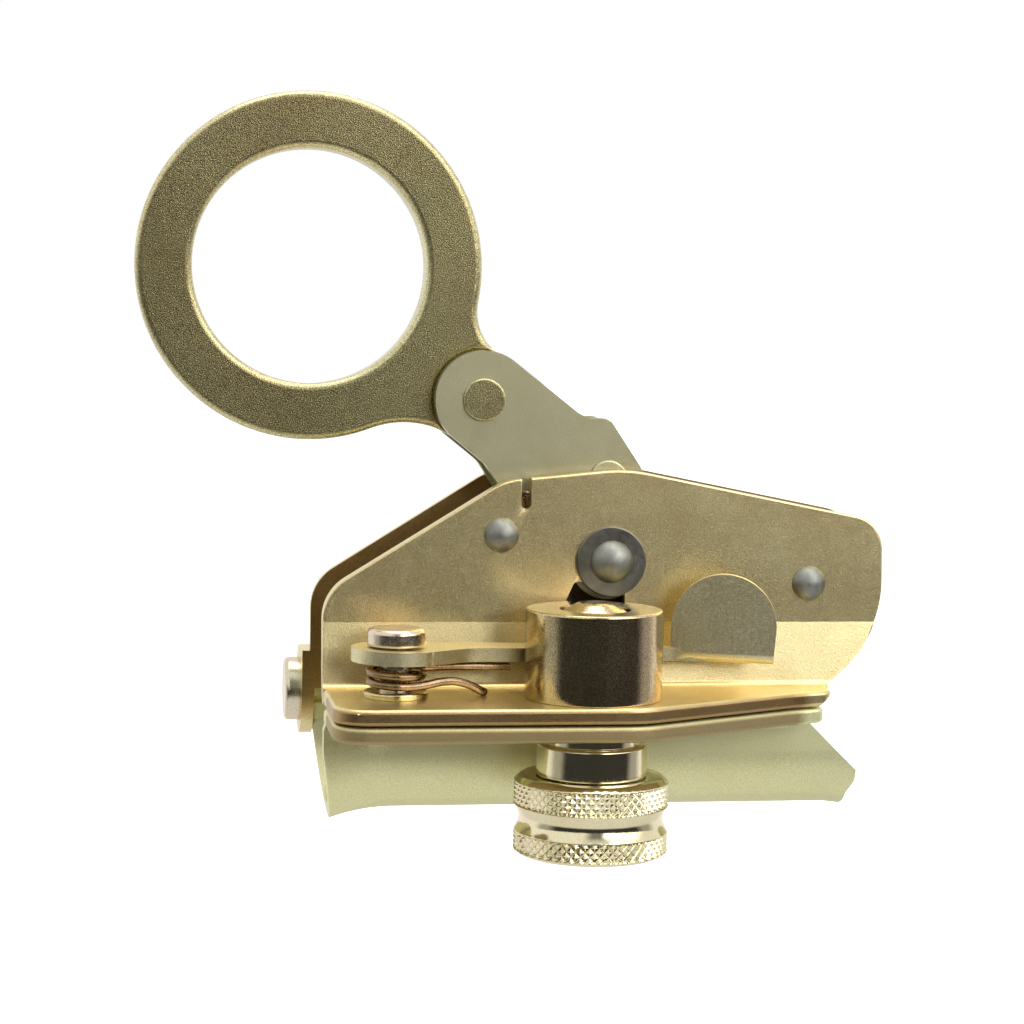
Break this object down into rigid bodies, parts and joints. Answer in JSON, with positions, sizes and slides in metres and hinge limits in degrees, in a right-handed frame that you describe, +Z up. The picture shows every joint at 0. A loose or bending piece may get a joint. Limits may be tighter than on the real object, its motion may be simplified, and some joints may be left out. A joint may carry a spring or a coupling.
{
  "type": "rope clutch",
  "caption": "Openable cam rope grab: sprung toothed cam arm with a large attachment ring between two side plates, and a hinged rope trough locked by a thumb screw and a press latch.",
  "frame": {"origin": "on the rope channel axis, midway between the side plates, near the middle of the trough", "axes": "+X along the rope, +Z up towards the ring, -Y towards the side with the latch and thumb screw"},
  "size_m": [0.1437, 0.0679, 0.1402],
  "materials": {
    "plate_zinc": "yellow zinc, fine grain",
    "rivet_steel": "dull silver",
    "washer_steel": "dark grey",
    "spring_wire": "bronze wire",
    "boss_zinc": "glossy yellow zinc",
    "copper_zinc": "glossy copper-tinted zinc",
    "link_zinc": "yellow zinc, satin",
    "cam_steel": "cast steel",
    "ring_zinc": "dark yellow zinc, grained",
    "shell_zinc": "pale yellow zinc",
    "knob_zinc": "polished yellow zinc"
  },
  "bodies": {
    "housing": {"front_plate": "plate_zinc", "rear_plate": "plate_zinc", "spacer_rivet_left": "rivet_steel", "spacer_rivet_right": "rivet_steel", "spacer_sleeve_left": "rivet_steel", "spacer_sleeve_right": "rivet_steel", "pivot_pin": "rivet_steel", "pivot_washer_front": "washer_steel", "pivot_washer_rear": "washer_steel", "side_washer_front": "washer_steel", "side_washer_rear": "washer_steel", "arm_spring": "spring_wire", "lock_boss": "boss_zinc", "latch_rivet": "copper_zinc", "latch_base_washer": "boss_zinc", "latch_spring": "spring_wire", "hinge_pin": "copper_zinc"},
    "arm": {"link_front": "link_zinc", "link_rear": "link_zinc", "cam": "cam_steel", "arm_bush": "washer_steel", "cam_rivet": "link_zinc", "ring_rivet": "link_zinc"},
    "ring": {"anchor_ring": "ring_zinc"},
    "gate": {"rope_shell": "shell_zinc"},
    "screw_carrier": {"thumb_collar": "knob_zinc"},
    "thumb_screw": {"thumb_knob": "knob_zinc", "screw_shank": "boss_zinc", "captive_ring": "rivet_steel"},
    "latch": {"latch_lever": "link_zinc"}
  },
  "joints": [
    {"name": "arm_swing", "type": "hinge", "parent": "housing", "child": "arm", "pos_m": [0.0045, 0, 0.0367], "axis": [0, 1, 0], "range_deg": [0, 55], "stiffness_Nm_per_rad": 0.12, "springref_deg": -17.19},
    {"name": "ring_swing", "type": "hinge", "parent": "arm", "child": "ring", "pos_m": [-0.0197, 0, 0.067], "axis": [0, 1, 0], "range_deg": [-60, 95]},
    {"name": "gate_swing", "type": "hinge", "parent": "housing", "child": "gate", "pos_m": [0, 0.018, 0.0082], "axis": [1, 0, 0], "range_deg": [0, 75]},
    {"name": "screw_travel", "type": "slide", "parent": "gate", "child": "screw_carrier", "axis": [0, 0, -1], "range_m": [0, 0.016]},
    {"name": "screw_spin", "type": "hinge", "parent": "screw_carrier", "child": "thumb_screw", "pos_m": [-0.0014, -0.0268, 0], "axis": [0, 0, 1], "range_deg": [0, 1080]},
    {"name": "latch_press", "type": "hinge", "parent": "housing", "child": "latch", "pos_m": [-0.0377, -0.0245, 0.02], "axis": [0, 0, 1], "range_deg": [0, 4], "stiffness_Nm_per_rad": 0.5, "springref_deg": -5.73}
  ],
  "couplings": [
    {"joint": "screw_travel", "follows": "gate_swing", "m_per_rad": 0.012222},
    {"joint": "screw_spin", "follows": "gate_swing", "ratio": 14.399}
  ]
}
